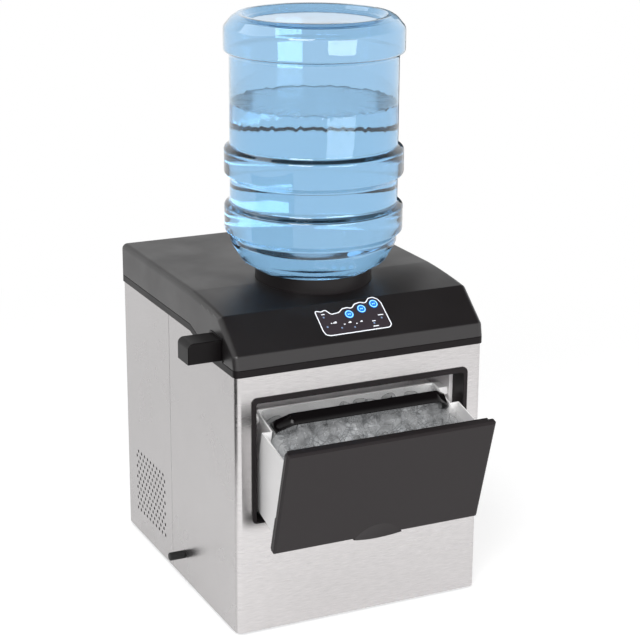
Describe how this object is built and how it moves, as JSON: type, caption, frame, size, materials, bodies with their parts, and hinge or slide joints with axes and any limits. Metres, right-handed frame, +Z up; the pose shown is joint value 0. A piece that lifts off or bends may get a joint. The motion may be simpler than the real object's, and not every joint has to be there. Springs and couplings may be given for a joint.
{
  "type": "countertop ice maker with bottled water dispenser",
  "caption": "Countertop ice maker with a tilting front ice drawer, a lift-out ice basket, push buttons, a side water spout and an inverted water bottle on top.",
  "frame": {"origin": "centre of the housing on the worktop, level with the undersides of the feet", "axes": "+X to the right seen from the front, +Y to the back, +Z up"},
  "size_m": [0.414, 0.5216, 0.8037],
  "materials": {
    "pan_steel": "galvanised",
    "sheet_steel": "fine horizontal brushing",
    "screw_steel": "bright",
    "cover_plastic": "fine grained",
    "rim_plastic": "satin",
    "bezel_plastic": "satin",
    "liner_plastic": "satin",
    "white_plastic": "satin",
    "panel_plastic": "satin",
    "clear_plastic": "clear",
    "handle_plastic": "polished",
    "bottle_plastic": "clear tinted",
    "cap_plastic": "satin",
    "collar_plastic": "satin",
    "hose_rubber": "translucent",
    "spout_plastic": "satin",
    "overlay_film": "printed film",
    "button_plastic": "backlit",
    "lamp_plastic": "diffusing",
    "circuit_board": "lacquered",
    "cold_metal": "plated",
    "motor_shell": "moulded",
    "rubber_black": "matt",
    "compressor_paint": "gloss",
    "fin_aluminium": "bare",
    "copper_pipe": "bare copper"
  },
  "bodies": {
    "housing": {"base_pan": "pan_steel", "front_casing": "sheet_steel", "rear_casing": "sheet_steel", "casing_screws": "screw_steel", "top_cover": "cover_plastic", "cover_rim": "rim_plastic", "drawer_bezel": "bezel_plastic", "cavity_liner": "liner_plastic", "guide_rail_left": "liner_plastic", "guide_rail_right": "liner_plastic", "bottle_collar": "collar_plastic", "reservoir_cup": "white_plastic", "bottle_probe": "white_plastic", "fill_hose": "hose_rubber", "dispense_hose": "hose_rubber", "dispense_valve": "white_plastic", "spout_plate": "spout_plastic", "spout_housing": "spout_plastic", "spout_nozzle": "spout_plastic", "control_overlay": "overlay_film", "indicator_lights": "lamp_plastic", "control_board": "circuit_board", "ice_frame": "screw_steel", "evaporator": "cold_metal", "tray_motor": "motor_shell", "ice_chute": "liner_plastic", "flap_pin": "screw_steel", "full_sensors": "motor_shell", "water_tank": "white_plastic", "drain_tube": "hose_rubber", "water_pump": "motor_shell", "riser_tube": "hose_rubber", "compressor": "compressor_paint", "condenser": "fin_aluminium", "fan_shroud": "motor_shell", "fan_motor": "screw_steel", "refrigerant_pipes": "copper_pipe", "power_inlet": "motor_shell", "foot_1": "rubber_black", "foot_2": "rubber_black", "foot_3": "rubber_black", "foot_4": "rubber_black"},
    "drawer_carriage": {"slide_shoe_left": "white_plastic", "slide_shoe_right": "white_plastic"},
    "drawer": {"hinge_pins": "screw_steel", "drawer_panel": "panel_plastic", "drawer_bin": "white_plastic", "bin_screws": "screw_steel"},
    "ice_basket": {"ice_basket": "clear_plastic"},
    "basket_handle": {"basket_handle": "handle_plastic"},
    "bottle": {"water_bottle": "bottle_plastic", "bottle_cap": "cap_plastic"},
    "button_1": {"button_1": "button_plastic"},
    "button_2": {"button_2": "button_plastic"},
    "button_3": {"button_3": "button_plastic"},
    "drain_cap": {"drain_cap": "rubber_black"},
    "fan": {"fan_blade": "motor_shell"},
    "water_tray": {"water_tray": "liner_plastic"},
    "chute_flap": {"chute_flap": "liner_plastic"}
  },
  "joints": [
    {"name": "drawer_slide", "type": "slide", "parent": "housing", "child": "drawer_carriage", "axis": [0, -1, 0], "range_m": [-0.083, 0]},
    {"name": "drawer_tilt", "type": "hinge", "parent": "drawer_carriage", "child": "drawer", "pos_m": [0, -0.17025, 0.291], "axis": [1, 0, 0], "range_deg": [-16, 0]},
    {"name": "basket_lift", "type": "slide", "parent": "drawer", "child": "ice_basket", "axis": [0, -0.2756, 0.9613], "range_m": [0, 0.028]},
    {"name": "handle_swing", "type": "hinge", "parent": "ice_basket", "child": "basket_handle", "pos_m": [0, -0.18677, 0.26819], "axis": [1, 0, 0], "range_deg": [-31, 0]},
    {"name": "bottle_lift", "type": "slide", "parent": "housing", "child": "bottle", "axis": [0, 0, 1], "range_m": [0, 0.1]},
    {"name": "drain_cap_pull", "type": "slide", "parent": "housing", "child": "drain_cap", "axis": [-1, 0, 0], "range_m": [0, 0.03]},
    {"name": "fan_spin", "type": "hinge", "parent": "housing", "child": "fan", "pos_m": [-0.138, 0.1175, 0.089], "axis": [1, 0, 0], "continuous": true},
    {"name": "tray_tilt", "type": "hinge", "parent": "housing", "child": "water_tray", "pos_m": [0, -0.02725, 0.343], "axis": [1, 0, 0], "range_deg": [0, 45]},
    {"name": "flap_swing", "type": "hinge", "parent": "housing", "child": "chute_flap", "pos_m": [0, -0.06705, 0.332], "axis": [-1, 0, 0], "range_deg": [0, 40]},
    {"name": "button_press_1", "type": "slide", "parent": "housing", "child": "button_1", "axis": [0, -0.6371, 0.7708], "range_m": [-0.001, 0], "stiffness_N_per_m": 300},
    {"name": "button_press_2", "type": "slide", "parent": "housing", "child": "button_2", "axis": [0, -0.6371, 0.7708], "range_m": [-0.001, 0], "stiffness_N_per_m": 300},
    {"name": "button_press_3", "type": "slide", "parent": "housing", "child": "button_3", "axis": [0, -0.6371, 0.7708], "range_m": [-0.001, 0], "stiffness_N_per_m": 300}
  ],
  "couplings": [
    {"joint": "drawer_tilt", "follows": "drawer_slide", "rad_per_m": 3.3645}
  ]
}
